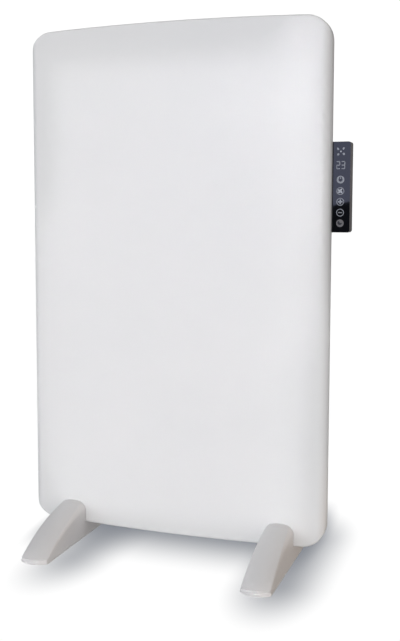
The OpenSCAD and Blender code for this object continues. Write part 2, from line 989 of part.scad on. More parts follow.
module control_rear() {
  color("dimgray")
    placed()
      difference() {
        union() {
          difference() {
            upright(split_y, control_back)
              control_outline(0);
            upright(split_y - over, control_back - control_wall)
              control_outline(control_wall);
          }
          upright(split_y - 1.5, split_y)
            difference() {
              control_outline(control_wall + fit_gap);
              control_outline(control_wall + fit_gap + 1);
            }
          upright(split_y, split_y + over)
            difference() {
              control_outline(control_wall - fit_gap);
              control_outline(control_wall + fit_gap + 1);
            }
          for (p = control_bosses)
            post(p[0], p[1], boss_top, control_back - over, 4.4);
        }
        for (p = control_bosses) {
          post(p[0], p[1], boss_top - over, control_back + over, 1.7);
          post(p[0], p[1], control_back - 4, control_back + over, 3.2);
          post(p[0], p[1], split_y - 2 * over, boss_top, 3.4 + fit_gap);
        }
        vent_slots();
        block([switch_x - switch_w / 2 - fit_gap, control_back - control_wall - over,
               switch_z - switch_h / 2 - fit_gap],
              [switch_x + switch_w / 2 + fit_gap, control_back + over,
               switch_z + switch_h / 2 + fit_gap]);
        gland_hole();
        translate([gland_x, gland_y, control_z + control_wall])
          cylinder(r = gland_r + gland_rim + fit_gap, h = 2 * gland_rim_t, $fn = small_fn);
      }
}

module touch_glass() {
  color("black")
    placed()
      upright(glass_y, glass_seat)
        glass_outline(0);
}

// A block that keeps the light of each key to itself
module light_guide() {
  color("snow")
    placed()
      difference() {
        upright(glass_wall_y, touch_board_y)
          translate([glass_x, control_mid_z])
            rounded_rect(glass_w - 6, control_h - 10, 2);
        for (up = all_keys)
          post(glass_x, control_z + up, glass_wall_y - over, touch_board_y + over, key_window_r);
        block([glass_x - digit_w / 2 - fit_gap, glass_wall_y - over,
               control_z + digit_up - digit_h / 2 - fit_gap],
              [glass_x + digit_w / 2 + fit_gap, touch_board_y + over,
               control_z + digit_up + digit_h / 2 + fit_gap]);
        for (p = lamp_places)
          post(glass_x + p[0] * lamp_spread, control_z + lamp_up + p[1] * lamp_spread,
               glass_wall_y - over, touch_board_y + over, 1.6);
      }
}

module touch_board() {
  color("darkgreen")
    placed()
      upright(touch_board_y, touch_board_y + pcb_t)
        translate([glass_x, control_mid_z])
          rounded_rect(glass_w - 6, control_h - 10, 2);
}

// Two seven-segment digits in one block
module digit_display() {
  color("gray")
    placed()
      block([glass_x - digit_w / 2, glass_seat + 0.2, control_z + digit_up - digit_h / 2],
            [glass_x + digit_w / 2, touch_board_y, control_z + digit_up + digit_h / 2]);
}

module indicator_lamps() {
  color("white")
    placed()
      for (p = lamp_places)
        post(glass_x + p[0] * lamp_spread, control_z + lamp_up + p[1] * lamp_spread,
             glass_seat + 0.2, touch_board_y, 1.4);
}

// One coil spring under each key carries the touch to the board
module touch_springs() {
  wire = 0.35;
  coil_r = 4.4;
  turns = 3;
  steps = 8;
  rise = touch_board_y - glass_seat - 2 * wire;
  color("gold")
    placed()
      for (up = all_keys)
        tube([for (i = [0 : turns * steps])
                [glass_x + coil_r * cos(360 * i / steps), glass_seat + wire + rise * i / (turns * steps),
                 control_z + up + coil_r * sin(360 * i / steps)]], wire, 5);
}

module power_board() {
  color("darkgreen")
    placed()
      difference() {
        upright(power_board_y, parts_y)
          translate([board_left + board_wide / 2, board_base + board_high / 2])
            rounded_rect(board_wide, board_high, 2);
        for (p = control_bosses)
          post(p[0], p[1], power_board_y - over, parts_y + over, 4);
      }
}

module relay() {
  color("royalblue")
    placed()
      board_part(20, 20, 28, 12, 9);
}

module capacitor() {
  color("goldenrod")
    placed()
      board_part(20, 42, 24, 10, 9);
}

module transformer() {
  color("gold")
    placed()
      difference() {
        board_part(46, 24, 20, 22, 9);
        for (s = [-1, 1])
          upright(parts_y + 2, parts_y + 7)
            translate([board_left + 46 + s * 9.5, board_base + 24])
              square([4, 12], center = true);
      }
}

// A glass fuse in two spring cups
module fuse() {
  x = board_left + 46;
  z = board_base + 44;
  color("silver")
    placed() {
      translate([x - 10, parts_y + 4, z])
        rotate([0, 90, 0])
          cylinder(r = 2.6, h = 20, $fn = small_fn);
      for (s = [-1, 1])
        difference() {
          block([x + s * 7.5 - 2, parts_y, z - 4], [x + s * 7.5 + 2, parts_y + 5, z + 4]);
          translate([x - 15, parts_y + 4, z])
            rotate([0, 90, 0])
              cylinder(r = 2.55, h = 30, $fn = small_fn);
        }
    }
}

module buzzer() {
  x = board_left + 52;
  z = board_base + 62;
  color("black")
    placed()
      difference() {
        post(x, z, parts_y, parts_y + 8, 6);
        post(x, z, parts_y + 6, parts_y + 8 + over, 1.2);
      }
}

// A small ball sensor that cuts the heat when the heater falls over
module tilt_sensor() {
  x = board_left + 30;
  z = board_base + 64;
  color("black")
    placed()
      difference() {
        board_part(30, 64, 12, 14, 9.5);
        post(x, z, parts_y + 8.7, parts_y + 9.5 + over, 3.4);
      }
}

// A three-way screw terminal on the front half of the box
module terminal_block() {
  x = gland_x;
  color("ivory")
    placed()
      difference() {
        block([x - 13, back_y + control_wall, control_z + 16],
              [x + 13, back_y + control_wall + 13, control_z + 30]);
        for (i = [-1 : 1]) {
          post(x + 8 * i, control_z + 25, back_y + control_wall + 4, back_y + control_d, 2.4);
          translate([x + 8 * i, back_y + control_wall + 5, control_z + 15])
            cylinder(r = 1.8, h = 9, $fn = small_fn);
        }
      }
}

// Power switch

module switch_frame() {
  inner_w = switch_w - 2 * frame_wall;
  inner_h = switch_h - 2 * frame_wall;
  floor_y = control_back - 13;
  color("black")
    placed()
      difference() {
        union() {
          block([switch_x - switch_w / 2, floor_y, switch_z - switch_h / 2],
                [switch_x + switch_w / 2, control_back, switch_z + switch_h / 2]);
          upright(control_back, control_back + 1.2)
            translate([switch_x, switch_z])
              rounded_rect(switch_w + 2.4, switch_h + 2.4, 1);
          for (i = [-1 : 1])
            block([switch_x - 2.4, floor_y - 5, switch_z + 6 * i - 0.4],
                  [switch_x + 2.4, floor_y, switch_z + 6 * i + 0.4]);
        }
        block([switch_x - inner_w / 2, floor_y + 1, switch_z - inner_h / 2],
              [switch_x + inner_w / 2, control_back + 2 * over, switch_z + inner_h / 2]);
        translate([switch_x - switch_w, pivot_y, switch_z])
          rotate([0, 90, 0])
            cylinder(r = pivot_r + run_gap, h = 2 * switch_w, $fn = mid_fn);
      }
}

// Side view of the rocker, level: its face dips at the pivot
module rocker_side() {
  half = switch_h / 2 - frame_wall - 0.9;
  polygon([[-half, 4], [0, 2.4], [half, 4], [half - 0.6, -1], [2.4, -4], [-2.4, -4],
           [-half + 0.6, -1]]);
}

module power_rocker() {
  half_w = switch_w / 2 - frame_wall - 0.3;
  pin_half = switch_w / 2 - 0.2;
  color("darkred")
    placed()
      translate([switch_x, pivot_y, switch_z])
        rotate([rocker_tilt, 0, 0]) {
          translate([-half_w, 0, 0])
            rotate([90, 0, 90])
              linear_extrude(height = 2 * half_w)
                rotate([0, 0, -90])
                  mirror([1, 0])
                    rocker_side();
          translate([-pin_half, 0, 0])
            rotate([0, 90, 0])
              cylinder(r = pivot_r, h = 2 * pin_half, $fn = mid_fn);
        }
}

// Cord inlet

// The hole is shared by the two halves of the box
module gland_hole() {
  translate([gland_x, gland_y, control_z - over])
    cylinder(r = gland_r, h = control_wall + 2 * over, $fn = small_fn);
}

module cable_gland() {
  color("black")
    placed()
      translate([gland_x, gland_y, control_z])
        difference() {
          union() {
            translate([0, 0, -gland_rim_t])
              cylinder(r = gland_r + gland_rim, h = gland_rim_t, $fn = small_fn);
            cylinder(r = gland_r - fit_gap, h = control_wall, $fn = small_fn);
            translate([0, 0, control_wall])
              cylinder(r = gland_r + gland_rim, h = gland_rim_t, $fn = small_fn);
          }
          translate([0, 0, -2 * over])
            cylinder(r = cord_r, h = control_wall + 4 * over, $fn = small_fn);
        }
}

// A bar that would grip the cord above the gland
module cord_clamp() {
  z = control_z + control_wall + 7;
  y = back_y + control_wall;
  color("snow")
    placed()
      difference() {
        block([gland_x - 11, y, z - 3], [gland_x + 11, gland_y + 6, z + 3]);
        translate([gland_x, gland_y, z - 4])
          cylinder(r = cord_r - 0.4, h = 8, $fn = small_fn);
        for (s = [-1, 1])
          post(gland_x + s * 7.5, z, y + 4, gland_y + 6 + over, 1.4);
      }
}

module control_screws() {
  color("gainsboro")
    placed()
      for (p = control_bosses)
        translate([p[0], control_back - 4, p[1]])
          rotate([-90, 0, 0])
            screw(1.25, control_d - 8, 2.9, 1.8);
}

module box_screws() {
  color("gainsboro")
    placed()
      for (p = box_screw_places)
        translate([p[0], back_y + control_wall, p[1]])
          rotate([-90, 0, 0])
            screw(1.5, control_wall + cover_t + rail_t + 2, 3, 1.8);
}

// Feet

// The inside of a foot keeps sharp edges
function foot_edge(inset) = inset > 0 ? 0 : foot_edge_r - inset;

module foot_plan(inset) {
  crowned_rect(foot_w - 2 * inset, foot_len - 2 * inset, tip_r - inset, foot_edge(inset));
}

// A barrel about a level axis, a hair wider than the foot, so that the plan cuts its sides
module barrel(inset, edge, spare) {
  translate([0, front_y - lobe_axis_s, lobe_axis_z])
    rotate([0, 90, 0])
      rotate_extrude($fn = 240)
        intersection() {
          rotate([0, 0, -90])
            crowned_rect(foot_w + 2 * (spare - inset), 2 * (lobe_r - inset), crown_r - inset, edge);
          translate([0, -foot_w])
            square([2 * lobe_r, 2 * foot_w]);
        }
}

// The curved upper surface in front of the panel. Outside it is one barrel with the foot's
// edges, cut by one with full shoulders that is turned up, so that they fade towards the tip;
// the hollow inside keeps the full shoulders all along.
module lobe(inset) {
  if (inset > 0)
    barrel(inset, shoulder_r - inset, barrel_out);
  else
    intersection() {
      barrel(0, foot_edge_r, barrel_out);
      translate([0, 0, foot_top + shoulder_rise])
        rotate([-shoulder_turn, 0, 0])
          translate([0, 0, -foot_top])
            barrel(0, shoulder_r, shoulder_out);
    }
}

module foot_form(inset, base) {
  intersection() {
    translate([0, 0, base])
      linear_extrude(height = foot_top + 40)
        foot_plan(inset);
    for (s = [0, 1])
      mirror([0, s, 0])
        intersection() {
          lobe(inset);
          block([-foot_w, -foot_len, base], [foot_w, 0, foot_top + 40]);
        }
  }
}

// Everything that stays solid inside a foot: walls, ribs, bosses and pad seats
module foot_core() {
  wall_y = slot_half + foot_wall;
  block([-foot_w, -wall_y, bridge_z], [foot_w, wall_y, foot_top + 40]);
  block([-rib_t / 2, -foot_len / 2, pad_proud + 3], [rib_t / 2, foot_len / 2, foot_top]);
  for (s = [-1, 1]) {
    for (y = [wall_y + rib_pitch : rib_pitch : foot_len / 2 - 24])
      block([-foot_w / 2, s * y - rib_t / 2, pad_proud + 3], [foot_w / 2, s * y + rib_t / 2, foot_top]);
    for (y = pad_places)
      translate([0, s * y, pad_proud])
        cylinder(r = pad_r + 2, h = foot_top, $fn = small_fn);
    translate([s * foot_screw_dx, foot_screw_y, foot_seat_z - 4])
      cylinder(r = foot_boss_r, h = foot_top, $fn = small_fn);
  }
}

module foot() {
  difference() {
    union() {
      foot_form(0, pad_proud);
      translate([0, 0, pad_proud])
        linear_extrude(height = lip_h)
          foot_plan(-lip_out);
    }
    difference() {
      foot_form(foot_wall, pad_proud - over);
      foot_core();
    }
    for (s = [-1, 1])
      translate([s * foot_screw_dx, foot_screw_y, 0]) {
        cylinder(r = foot_screw_r + fit_gap, h = foot_top, $fn = small_fn);
        cylinder(r = foot_head_r + fit_gap, h = foot_seat_z, $fn = small_fn);
      }
    for (s = [-1, 1])
      for (y = pad_places)
        translate([0, s * y, 0])
          cylinder(r = pad_r + fit_gap, h = pad_t, $fn = small_fn);
  }
}

module placed_foot(side) {
  placed()
    difference() {
      translate([side * foot_x, 0, 0])
        foot();
      upright(-slot_half, slot_half)
        panel_outline(-slot_gap);
    }
}

module left_foot() {
  color("gainsboro")
    placed_foot(-1);
}

module right_foot() {
  color("gainsboro")
    placed_foot(1);
}

module foot_screw_holes(r) {
  for (side = [-1, 1])
    for (s = [-1, 1])
      translate([side * foot_x + s * foot_screw_dx, foot_screw_y, panel_lift - over])
        cylinder(r = r, h = end_rail_z + foot_plate_t + 2 * over, $fn = small_fn);
}

// A tapped plate inside the bottom rail, for one foot's two screws
module foot_plate(side) {
  color("silver")
    placed()
      difference() {
        block([side * foot_x - 22, rail_y + rail_t + fit_gap, foot_plate_z],
              [side * foot_x + 22, cover_y - rail_t - fit_gap, foot_plate_z + foot_plate_t]);
        for (s = [-1, 1])
          translate([side * foot_x + s * foot_screw_dx, foot_screw_y, foot_plate_z - over])
            cylinder(r = foot_screw_r + fit_gap, h = foot_plate_t + 2 * over, $fn = small_fn);
      }
}

module left_foot_plate() {
  foot_plate(-1);
}

module right_foot_plate() {
  foot_plate(1);
}

module foot_screws() {
  length = foot_plate_z + foot_plate_t + 1 - foot_seat_z;
  color("silver")
    placed()
      for (side = [-1, 1])
        for (s = [-1, 1])
          translate([side * foot_x + s * foot_screw_dx, foot_screw_y, foot_seat_z])
            rotate([180, 0, 0])
              screw(foot_screw_r, length, foot_head_r, 3);
}

module foot_pads() {
  color("black")
    placed()
      for (side = [-1, 1])
        for (s = [-1, 1])
          for (y = pad_places)
            translate([side * foot_x, s * y, 0])
              cylinder(r = pad_r, h = pad_t, $fn = small_fn);
}

front_shell();
front_laminate();
heating_film();
copper_busbars();
rear_laminate();
reflector_foil();
insulation_board();
left_rail();
right_rail();
top_rail();
bottom_rail();
lower_cross_rail();
middle_cross_rail();
upper_cross_rail();
back_cover();
cover_screws();
wall_nuts();
upper_cutout();
lower_cutout();
cutout_clips();
live_lead();
link_lead();
return_lead();
neutral_lead();
earth_lead();
earth_stud();
lead_grommet();
control_front();
control_rear();
touch_glass();
light_guide();
touch_board();
digit_display();
indicator_lamps();
touch_springs();
power_board();
relay();
capacitor();
transformer();
fuse();
buzzer();
tilt_sensor();
terminal_block();
switch_frame();
power_rocker();
cable_gland();
cord_clamp();
control_screws();
box_screws();
left_foot();
right_foot();
left_foot_plate();
right_foot_plate();
foot_screws();
foot_pads();
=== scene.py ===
import math

import bpy
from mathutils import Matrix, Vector


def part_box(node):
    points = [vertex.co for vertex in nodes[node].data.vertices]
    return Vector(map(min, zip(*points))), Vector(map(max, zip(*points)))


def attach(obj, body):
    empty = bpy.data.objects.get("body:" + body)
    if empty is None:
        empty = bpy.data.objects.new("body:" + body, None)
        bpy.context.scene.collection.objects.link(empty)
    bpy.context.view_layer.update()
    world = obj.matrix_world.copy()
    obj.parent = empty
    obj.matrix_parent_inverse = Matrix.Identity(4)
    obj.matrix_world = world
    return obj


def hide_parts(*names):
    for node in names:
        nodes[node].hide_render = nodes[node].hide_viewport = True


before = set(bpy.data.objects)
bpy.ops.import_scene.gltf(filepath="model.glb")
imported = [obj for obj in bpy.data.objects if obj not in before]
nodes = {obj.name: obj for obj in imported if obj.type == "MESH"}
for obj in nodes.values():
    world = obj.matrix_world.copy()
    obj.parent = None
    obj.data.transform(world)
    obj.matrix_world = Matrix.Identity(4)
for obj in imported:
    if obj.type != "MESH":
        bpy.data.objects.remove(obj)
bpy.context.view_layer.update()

body = "heater"  # the pieces made here all ride on this
mm = 0.001
print("stage: frame loaded,", len(nodes), "nodes")


def hexLinear(code):
    # sRGB hex to the linear colour that a shader wants
    out = []
    for i in (1, 3, 5):
        c = int(code[i:i + 2], 16) / 255
        out.append(c / 12.92 if c <= 0.04045 else ((c + 0.055) / 1.055) ** 2.4)
    return (*out, 1.0)


def addNode(tree, kind, settings=None, links=None):
    # settings: attributes or socket values; links: socket name or index -> output socket. A
    # Mix of two colours takes them at 6 and 7 and gives its result at output 2
    node = tree.nodes.new(kind)
    for key, value in (settings or {}).items():
        if isinstance(key, str) and hasattr(node, key):
            setattr(node, key, value)
        else:
            node.inputs[key].default_value = value
    for key, source in (links or {}).items():
        tree.links.new(source, node.inputs[key])
    return node


def newMaterial(name):
    mat = bpy.data.materials.new(name)
    mat.use_nodes = True
    mat.node_tree.nodes.clear()
    return mat, mat.node_tree


def dress(names, material):
    for name in names:
        nodes[name].data.materials.clear()
        nodes[name].data.materials.append(material)


def addObject(name, data):
    thing = bpy.data.objects.new(name, data)
    bpy.context.scene.collection.objects.link(thing)
    return thing


def meshPiece(name, verts, faces, material, smooth=True):
    mesh = bpy.data.meshes.new(name)
    mesh.from_pydata([Vector(v) * mm for v in verts], [], faces)
    mesh.validate()
    mesh.polygons.foreach_set("use_smooth", [smooth] * len(mesh.polygons))
    mesh.materials.append(material)
    piece = addObject(name, mesh)
    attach(piece, body)
    return piece


# each finish is two close shades, the size of its grain and of its patches, its roughness from
# smooth to rough spots and the depth of its surface, all sizes in mm, and the nodes it is on.
# Spark-eroded, plated and drawn skins really have a grain of 0.05 to 0.2 mm: theirs is drawn
# coarser, so that a close view shows it
finishes = {
    # satin powder coat of the heating face: a fine orange peel, nearly white
    "powderCoatSteel": {"on": (), "dark": "#E7E8E8", "light": "#EBEBEB", "grain": 2.2,
                        "patch": 140, "detail": (2.0, 1.0), "rough": (0.34, 0.46),
                        "depth": 0.05},
    # powder coat over pressed sheet: finer and duller than the front's
    "texturedPowderCoat": {"on": ("back_cover",), "dark": "#DBDBD8", "light": "#E4E4E2",
                           "grain": 0.9, "patch": 60, "rough": (0.45, 0.6), "depth": 0.05},
    # glass-fibre laminate: amber and slightly cloudy, with a satin skin
    "glassFibreLaminate": {"on": ("front_laminate", "rear_laminate"), "dark": "#A8964E",
                           "light": "#C2B16A", "grain": 1.2, "patch": 9,
                           "rough": (0.35, 0.5), "depth": 0.02},
    # printed carbon: flat black with a dusty grain
    "printedCarbon": {"on": ("heating_film",), "dark": "#141416", "light": "#222225",
                      "grain": 0.6, "patch": 12, "rough": (0.75, 0.9), "depth": 0.01},
    # rolled copper: warm metal with faint darker tarnish
    "rolledCopper": {"on": ("copper_busbars",), "dark": "#A8603C", "light": "#C97F56",
                     "grain": 0.8, "patch": 25, "rough": (0.22, 0.38), "depth": 0.005,
                     "metallic": 1.0},
    # rolled aluminium foil: bright, with soft wrinkles
    "aluminiumFoil": {"on": ("reflector_foil",), "dark": "#D6D8DA", "light": "#E6E8EA",
                      "grain": 7.0, "patch": 40, "rough": (0.18, 0.3), "depth": 0.3,
                      "metallic": 1.0},
    # pressed mineral fibre: off-white felt, fully matt
    "mineralFibre": {"on": ("insulation_board",), "dark": "#D8D2C0", "light": "#EAE6D8",
                     "grain": 0.7, "patch": 14, "rough": (0.9, 1.0), "depth": 0.25},
    # galvanised steel, folded: grey metal with cloudy spangle
    "galvanisedSteel": {"on": ("left_rail", "right_rail", "top_rail", "bottom_rail",
                               "lower_cross_rail", "middle_cross_rail", "upper_cross_rail",
                               "left_foot_plate", "right_foot_plate"),
                        "dark": "#9CA1A6", "light": "#BFC3C7", "grain": 4.0, "patch": 9,
                        "rough": (0.3, 0.45), "depth": 0.01, "metallic": 1.0},
    # zinc-plated steel of screws and nuts: brighter and finer than the sheet
    "zincPlatedSteel": {"on": ("cover_screws", "control_screws", "box_screws", "foot_screws",
                               "wall_nuts"), "dark": "#B4B6B6", "light": "#CFD0CF",
                        "grain": 0.5, "patch": 4, "rough": (0.22, 0.34), "depth": 0.004,
                        "metallic": 1.0},
    # moulded phenolic: very dark brown, slightly mottled
    "mouldedPhenolic": {"on": ("upper_cutout", "lower_cutout"), "dark": "#23140D",
                        "light": "#33201A", "grain": 0.6, "patch": 3, "rough": (0.4, 0.55),
                        "depth": 0.02},
    # drawn spring steel: darker metal with a soft sheen
    "springSteel": {"on": ("cutout_clips", "touch_springs"), "dark": "#A8A69C",
                    "light": "#C4C2B8", "grain": 0.4, "patch": 5, "rough": (0.2, 0.32),
                    "depth": 0.003, "metallic": 1.0},
    # silicone sleeves, extruded: soft, slightly waxy colours, the last one yellow-green
    "brownSilicone": {"on": ("live_lead", "link_lead", "return_lead"), "dark": "#4E2D1B",
                      "light": "#603A24", "grain": 1.0, "patch": 15, "rough": (0.5, 0.62),
                      "depth": 0.02, "ior": 1.41},
    "blueSilicone": {"on": ("neutral_lead",), "dark": "#1E4E92", "light": "#2A60A8",
                     "grain": 1.0, "patch": 15, "rough": (0.5, 0.62), "depth": 0.02,
                     "ior": 1.41},
    "earthSilicone": {"on": ("earth_lead",), "dark": "#8DA632", "light": "#A9BF45",
                      "grain": 1.0, "patch": 6, "rough": (0.5, 0.62), "depth": 0.02,
                      "ior": 1.41},
    # turned brass: yellow metal with a fine bright skin
    "turnedBrass": {"on": ("earth_stud",), "dark": "#B8933F", "light": "#D2AE5C",
                    "grain": 0.3, "patch": 6, "rough": (0.2, 0.35), "depth": 0.004,
                    "metallic": 1.0},
    # moulded rubber: near black with a dry bloom
    "mouldedRubber": {"on": ("lead_grommet", "cable_gland", "foot_pads"), "dark": "#141414",
                      "light": "#1F1F1F", "grain": 0.8, "patch": 8, "rough": (0.65, 0.8),
                      "depth": 0.03, "ior": 1.52},
    # ABS of the control box: warm dark grey, spark-eroded satin
    "satinAbs": {"on": ("control_front", "control_rear"), "dark": "#514C49",
                 "light": "#5B5653", "grain": 0.5, "patch": 25, "rough": (0.32, 0.44),
                 "depth": 0.012, "ior": 1.54},
    # white polycarbonate of the light guide: soft, with an even shine
    "whitePolycarbonate": {"on": ("light_guide",), "dark": "#E4E4DF", "light": "#F0F0EC",
                           "grain": 1.0, "patch": 20, "rough": (0.4, 0.5), "depth": 0.01,
                           "ior": 1.58},
    # solder mask on the boards: deep green lacquer
    "solderMask": {"on": ("touch_board", "power_board"), "dark": "#12432A",
                   "light": "#1A5536", "grain": 1.4, "patch": 7, "rough": (0.25, 0.4),
                   "depth": 0.02},
    # dark polycarbonate of the display: smooth, nearly black
    "darkPolycarbonate": {"on": ("digit_display",), "dark": "#2A2A2D", "light": "#333338",
                          "grain": 0.7, "patch": 10, "rough": (0.3, 0.4), "depth": 0.008},
    # cast epoxy of the lamps: pale and shiny
    "castEpoxy": {"on": ("indicator_lamps",), "dark": "#D8DCE2", "light": "#E6EAEE",
                  "grain": 0.8, "patch": 6, "rough": (0.1, 0.2), "depth": 0.004},
    # moulded PBT of the parts on the board: blue and yellow with a gloss, black and duller
    "bluePbt": {"on": ("relay",), "dark": "#1D4486", "light": "#25509A", "grain": 0.8,
                "patch": 10, "rough": (0.25, 0.35), "depth": 0.008},
    "yellowPbt": {"on": ("capacitor",), "dark": "#B98B1C", "light": "#CC9E2C", "grain": 0.8,
                  "patch": 10, "rough": (0.25, 0.35), "depth": 0.008},
    "blackPbt": {"on": ("buzzer", "tilt_sensor"), "dark": "#151517", "light": "#1E1E20",
                 "grain": 0.5, "patch": 8, "rough": (0.35, 0.5), "depth": 0.01},
    # wound polyester tape: deep yellow, with the edges of its layers
    "polyesterTape": {"on": ("transformer",), "dark": "#A98C1E", "light": "#C2A536",
                      "grain": 2.0, "patch": 8, "rough": (0.4, 0.55), "depth": 0.04},
    # nickel plating of the fuse: bright and smooth
    "nickelPlate": {"on": ("fuse",), "dark": "#B9BABC", "light": "#D2D3D4", "grain": 0.4,
                    "patch": 4, "rough": (0.12, 0.22), "depth": 0.003, "metallic": 1.0},
    # moulded nylon: creamy white, a little waxy
    "whiteNylon": {"on": ("terminal_block", "cord_clamp"), "dark": "#CFCCC0",
                   "light": "#DDDBD0", "grain": 0.8, "patch": 10, "rough": (0.4, 0.5),
                   "depth": 0.012, "ior": 1.53},
    # polished polycarbonate of the mains switch: black with a clear gloss
    "glossPolycarbonate": {"on": ("switch_frame", "power_rocker"), "dark": "#131314",
                           "light": "#1A1A1B", "grain": 1.2, "patch": 12,
                           "rough": (0.12, 0.2), "depth": 0.003, "ior": 1.58},
    # ABS of the feet: white, fine spark-eroded satin
    "whiteAbs": {"on": ("left_foot", "right_foot"), "dark": "#E0DFDF", "light": "#E8E7E7",
                 "grain": 0.6, "patch": 70, "rough": (0.36, 0.48), "depth": 0.012,
                 "ior": 1.54},
}
noiseLow, noiseHigh = 0.3, 0.7  # nearly all of a noise texture's values lie between these


def grainMaterial(name, spec):
    mat, tree = newMaterial(name)
    # object coordinates are metres on every piece, so a scale is 1 / a real size in metres
    where = addNode(tree, "ShaderNodeTexCoord").outputs["Object"]
    grainDetail, patchDetail = spec.get("detail", (3.0, 2.0))
    grain = addNode(tree, "ShaderNodeTexNoise",
                    {"Scale": 1 / (spec["grain"] * mm), "Detail": grainDetail},
                    {"Vector": where})
    patch = addNode(tree, "ShaderNodeTexNoise",
                    {"Scale": 1 / (spec["patch"] * mm), "Detail": patchDetail},
                    {"Vector": where})
    tint = addNode(tree, "ShaderNodeMix", {"data_type": "RGBA", 6: hexLinear(spec["dark"]),
                                           7: hexLinear(spec["light"])},
                   {0: patch.outputs["Fac"]})
    rough = addNode(tree, "ShaderNodeMapRange",
                    {"From Min": noiseLow, "From Max": noiseHigh,
                     "To Min": spec["rough"][0], "To Max": spec["rough"][1]},
                    {"Value": grain.outputs["Fac"]})
    bump = addNode(tree, "ShaderNodeBump", {"Strength": 1.0, "Distance": spec["depth"] * mm},
                   {"Height": grain.outputs["Fac"]})
    shader = addNode(tree, "ShaderNodeBsdfPrincipled",
                     {"Metallic": spec.get("metallic", 0.0)},
                     {"Base Color": tint.outputs[2], "Roughness": rough.outputs[0],
                      "Normal": bump.outputs[0]})
    if not spec.get("metallic"):
        shader.inputs["IOR"].default_value = spec.get("ior", 1.5)
    addNode(tree, "ShaderNodeOutputMaterial", {}, {"Surface": shader.outputs[0]})
    return mat


made = {}
for name, spec in finishes.items():
    made[name] = grainMaterial(name, spec)
    dress(spec["on"], made[name])


# float glass printed black behind: a mirror-like skin over a blue-black depth
floatGlass = {
    "dark": "#0B0C10",
    "light": "#101218",
    "wave": 30,  # mm, the slow wave of the sheet
    "depth": 0.02,
    "rough": 0.03,
    "ior": 1.52,
}


def printedGlass(spec):
    mat, tree = newMaterial("printedFloatGlass")
    where = addNode(tree, "ShaderNodeTexCoord").outputs["Object"]
    wave = addNode(tree, "ShaderNodeTexNoise",
                   {"Scale": 1 / (spec["wave"] * mm), "Detail": 0.0}, {"Vector": where})
    tint = addNode(tree, "ShaderNodeMix", {"data_type": "RGBA", 6: hexLinear(spec["dark"]),
                                           7: hexLinear(spec["light"])},
                   {0: wave.outputs["Fac"]})
    bump = addNode(tree, "ShaderNodeBump", {"Strength": 1.0, "Distance": spec["depth"] * mm},
                   {"Height": wave.outputs["Fac"]})
    shader = addNode(tree, "ShaderNodeBsdfPrincipled",
                     {"IOR": spec["ior"], "Roughness": spec["rough"]},
                     {"Base Color": tint.outputs[2], "Normal": bump.outputs[0]})
    addNode(tree, "ShaderNodeOutputMaterial", {}, {"Surface": shader.outputs[0]})
    return mat


# screen-printed ink: soft greys with a fine speck, lit a little from behind
ink = {
    "speck": 1.6,  # mm
    "rough": 0.3,
    "ior": 1.5,
    "shades": {
        "paleScreenInk": {"dark": "#A0A4AC", "light": "#B6BAC2", "glow": 0.08},
        "ringScreenInk": {"dark": "#888B93", "light": "#9B9FA6", "glow": 0.06},
        "softScreenInk": {"dark": "#626061", "light": "#706E6F", "glow": 0.03},
        "darkScreenInk": {"dark": "#101013", "light": "#18181C", "glow": 0.0},
    },
}


def screenInk(name, spec):
    mat, tree = newMaterial(name)
    where = addNode(tree, "ShaderNodeTexCoord").outputs["Object"]
    speck = addNode(tree, "ShaderNodeTexNoise",
                    {"Scale": 1 / (ink["speck"] * mm), "Detail": 1.0}, {"Vector": where})
    tint = addNode(tree, "ShaderNodeMix", {"data_type": "RGBA", 6: hexLinear(spec["dark"]),
                                           7: hexLinear(spec["light"])},
                   {0: speck.outputs["Fac"]})
    shader = addNode(tree, "ShaderNodeBsdfPrincipled",
                     {"Roughness": ink["rough"], "IOR": ink["ior"],
                      "Emission Color": hexLinear(spec["light"]),
                      "Emission Strength": spec["glow"]}, {"Base Color": tint.outputs[2]})
    addNode(tree, "ShaderNodeOutputMaterial", {}, {"Surface": shader.outputs[0]})
    return mat


dress(["touch_glass"], printedGlass(floatGlass))
for name, spec in ink["shades"].items():
    made[name] = screenInk(name, spec)
print("stage: materials")


# the front sheet: rolled sides, arched ends and a face that falls away at its margins, in mm
sheetLow, sheetHigh = (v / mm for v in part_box("front_shell"))
sheet = {
    "width": sheetHigh.x - sheetLow.x,
    "middleX": (sheetLow.x + sheetHigh.x) / 2,
    "height": sheetHigh.z - sheetLow.z,
    "middleZ": (sheetLow.z + sheetHigh.z) / 2,
    "frontY": sheetLow.y,
    "backY": sheetHigh.y,
    "thick": 1.2,
    "cornerR": 43,
    "leastCornerR": 3,  # where the outline is drawn in by more than the corner
    "bow": 7,  # rise of the arched ends
    "roll": 15,  # radius of the rolled sides
    "bend": 3,  # radius of the bend along the arched ends
    "merge": 3,  # power by which roll and bend run into each other at the corners
    "fall": 1.6,  # how far the face falls away towards its edges
    "reach": 85,  # width of that margin
    "lip": 0.2,  # the rear edge's straight part, at least
    "insets": [0.0, 0.05, 0.15, 0.36, 0.65, 1.1, 1.63, 2.2, 3, 4.4, 6.2, 8.2, 10.4, 12.65, 15,
               19, 25, 32, 40, 50, 60, 72, 85],  # of the rings of points on the face
    "innerGap": 0.3,  # the inner skin's rings start this far inside its edge
    "hair": 0.001,  # keeps a root above zero at that edge
    "sidePoints": 12,  # points on a quarter of the outline
    "cornerPoints": 12,
    "archPoints": 10,
}


